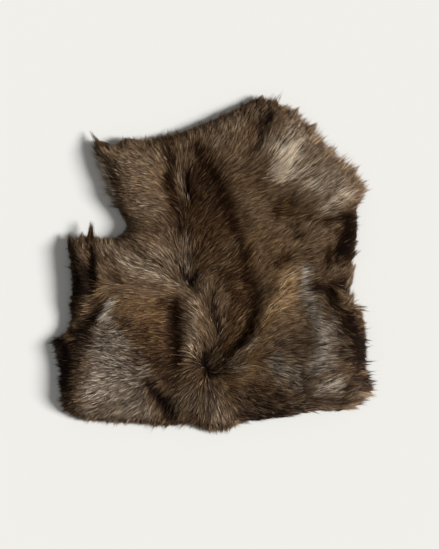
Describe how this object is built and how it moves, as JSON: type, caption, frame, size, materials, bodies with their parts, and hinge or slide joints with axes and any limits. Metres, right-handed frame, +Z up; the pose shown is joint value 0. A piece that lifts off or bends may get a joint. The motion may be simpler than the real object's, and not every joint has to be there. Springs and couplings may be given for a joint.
{
  "type": "reindeer skin seat pad",
  "caption": "Flat pad of reindeer hide with its hair on, irregular outline with a notch in one side, lying hair up.",
  "frame": {"origin": "on the surface the pad lies on, under the middle of its box", "axes": "+Z up out of the hair, +Y to the neck end of the hide, +X to its right flank as seen from above"},
  "size_m": [0.4056, 0.4236, 0.0325],
  "materials": {
    "reindeer_hair": "matte fur, brown and grey"
  },
  "bodies": {
    "root": {"reindeer_hide": "reindeer_hair"}
  },
  "joints": []
}
